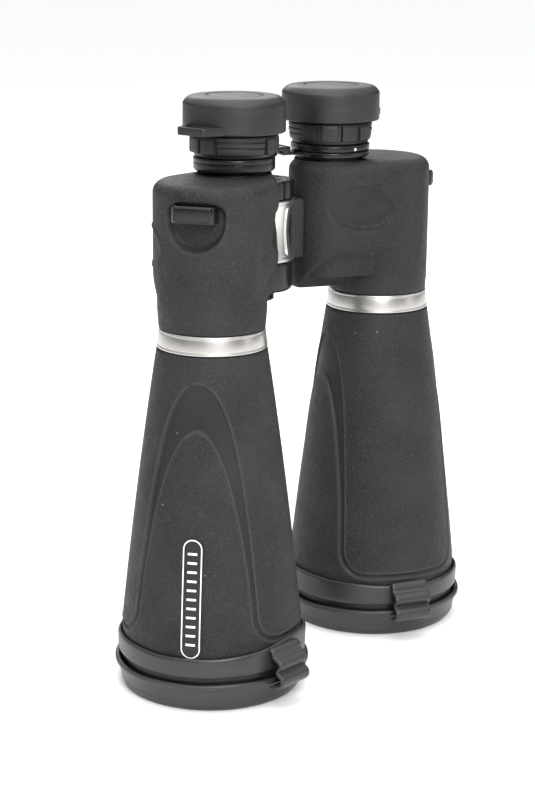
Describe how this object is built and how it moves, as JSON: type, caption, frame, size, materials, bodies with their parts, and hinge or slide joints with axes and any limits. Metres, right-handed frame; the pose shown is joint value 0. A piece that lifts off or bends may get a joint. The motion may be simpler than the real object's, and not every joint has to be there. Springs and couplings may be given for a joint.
{
  "type": "astronomy binoculars",
  "caption": "Large Porro-prism binoculars with flared objective barrels, folding centre hinge, focus wheel, twist-up eyecups and slip-on caps, standing on the objective caps.",
  "frame": {"origin": "centre of the footprint, on the surface that the objective caps stand on", "axes": "+X to the user's right, +Y to the top side in use, +Z from the objectives to the eyepieces"},
  "size_m": [0.2286, 0.1013, 0.2849],
  "materials": {
    "armour_rubber": "fine pebble grain, satin",
    "cap_rubber": "smooth satin",
    "black_metal": "gloss black",
    "satin_aluminium": "brushed satin",
    "steel": "satin",
    "brass": "machined",
    "coated_glass": "polished, coated"
  },
  "bodies": {
    "left_half": {"left_prism_housing": "armour_rubber", "left_objective_barrel": "armour_rubber", "left_trim_ring": "satin_aluminium", "left_objective_cell": "black_metal", "left_crown_lens": "coated_glass", "left_flint_lens": "coated_glass", "left_upper_prism": "coated_glass", "left_lower_prism": "coated_glass", "left_prism_shelf": "black_metal", "left_cap_band": "cap_rubber", "left_strap_lug": "black_metal", "left_hinge_lug": "black_metal", "hinge_axle": "steel", "tripod_socket": "brass"},
    "right_half": {"right_prism_housing": "armour_rubber", "right_objective_barrel": "armour_rubber", "right_trim_ring": "satin_aluminium", "right_objective_cell": "black_metal", "right_crown_lens": "coated_glass", "right_flint_lens": "coated_glass", "right_upper_prism": "coated_glass", "right_lower_prism": "coated_glass", "right_prism_shelf": "black_metal", "right_cap_band": "cap_rubber", "right_strap_lug": "black_metal", "right_hinge_tube": "satin_aluminium"},
    "left_objective_cap": {"left_objective_cap": "cap_rubber"},
    "right_objective_cap": {"right_objective_cap": "cap_rubber"},
    "tripod_cover": {"tripod_cover": "black_metal"},
    "focus_wheel": {"focus_wheel": "armour_rubber"},
    "focus_bridge": {"focus_screw": "steel", "left_bridge_arm": "black_metal", "bridge_screw": "steel", "left_eyepiece_tube": "black_metal", "left_field_lens": "coated_glass", "left_eye_lens": "coated_glass"},
    "right_bridge_arm": {"right_bridge_arm": "black_metal"},
    "diopter_ring": {"diopter_ring": "black_metal"},
    "right_eyepiece": {"right_eyepiece_tube": "black_metal", "right_field_lens": "coated_glass", "right_eye_lens": "coated_glass"},
    "left_eyecup_ring": {"left_eyecup_ring": "cap_rubber"},
    "left_eyecup": {"left_eyecup": "cap_rubber"},
    "left_eyepiece_cap": {"left_eyepiece_cap": "cap_rubber"},
    "right_eyecup_ring": {"right_eyecup_ring": "cap_rubber"},
    "right_eyecup": {"right_eyecup": "cap_rubber"},
    "right_eyepiece_cap": {"right_eyepiece_cap": "cap_rubber"}
  },
  "joints": [
    {"name": "interpupillary_hinge", "type": "hinge", "parent": "left_half", "child": "right_half", "pos_m": [0, 0.0277, 0.215], "axis": [0, 0, -1], "range_deg": [0, 50]},
    {"name": "left_cap_strap", "type": "hinge", "parent": "left_half", "child": "left_objective_cap", "pos_m": [-0.0681, -0.04833, 0.0155], "axis": [-0.9994, 0.0349, 0], "range_deg": [0, 105]},
    {"name": "right_cap_strap", "type": "hinge", "parent": "right_half", "child": "right_objective_cap", "pos_m": [0.0416, -0.04197, 0.0155], "axis": [-0.8746, 0.4848, 0], "range_deg": [0, 105]},
    {"name": "tripod_cover_pull", "type": "slide", "parent": "left_half", "child": "tripod_cover", "axis": [0, 0, -1], "range_m": [0, 0.015]},
    {"name": "focus_turn", "type": "hinge", "parent": "left_half", "child": "focus_wheel", "pos_m": [0, 0.0277, 0.236], "axis": [0, 0, 1], "range_deg": [-60, 465]},
    {"name": "focus_travel", "type": "slide", "parent": "left_half", "child": "focus_bridge", "axis": [0, 0, 1], "range_m": [-0.001, 0.007]},
    {"name": "bridge_fold", "type": "hinge", "parent": "focus_bridge", "child": "right_bridge_arm", "pos_m": [0, 0.0277, 0.255], "axis": [0, 0, -1], "range_deg": [0, 50]},
    {"name": "diopter_turn", "type": "hinge", "parent": "right_bridge_arm", "child": "diopter_ring", "pos_m": [0.03779, 0.01342, 0.2555], "axis": [0, 0, 1], "range_deg": [-10, 100]},
    {"name": "diopter_travel", "type": "slide", "parent": "right_bridge_arm", "child": "right_eyepiece", "axis": [0, 0, 1], "range_m": [-0.0003, 0.003]},
    {"name": "left_eyecup_turn", "type": "hinge", "parent": "focus_bridge", "child": "left_eyecup_ring", "pos_m": [-0.03779, 0.01342, 0.263], "axis": [0, 0, 1], "range_deg": [0, 90]},
    {"name": "left_eyecup_travel", "type": "slide", "parent": "left_eyecup_ring", "child": "left_eyecup", "axis": [0, 0, 1], "range_m": [0, 0.0055]},
    {"name": "left_eyepiece_cap_pull", "type": "slide", "parent": "left_eyecup", "child": "left_eyepiece_cap", "axis": [0, 0, 1], "range_m": [0, 0.03]},
    {"name": "right_eyecup_turn", "type": "hinge", "parent": "right_eyepiece", "child": "right_eyecup_ring", "pos_m": [0.03779, 0.01342, 0.263], "axis": [0, 0, 1], "range_deg": [0, 90]},
    {"name": "right_eyecup_travel", "type": "slide", "parent": "right_eyecup_ring", "child": "right_eyecup", "axis": [0, 0, 1], "range_m": [0, 0.0055]},
    {"name": "right_eyepiece_cap_pull", "type": "slide", "parent": "right_eyecup", "child": "right_eyepiece_cap", "axis": [0, 0, 1], "range_m": [0, 0.03]}
  ],
  "couplings": [
    {"joint": "focus_travel", "follows": "focus_turn", "m_per_rad": 0.00085},
    {"joint": "bridge_fold", "follows": "interpupillary_hinge", "ratio": 1},
    {"joint": "diopter_travel", "follows": "diopter_turn", "m_per_rad": 0.0017},
    {"joint": "left_eyecup_travel", "follows": "left_eyecup_turn", "m_per_rad": 0.0035},
    {"joint": "right_eyecup_travel", "follows": "right_eyecup_turn", "m_per_rad": 0.0035}
  ]
}
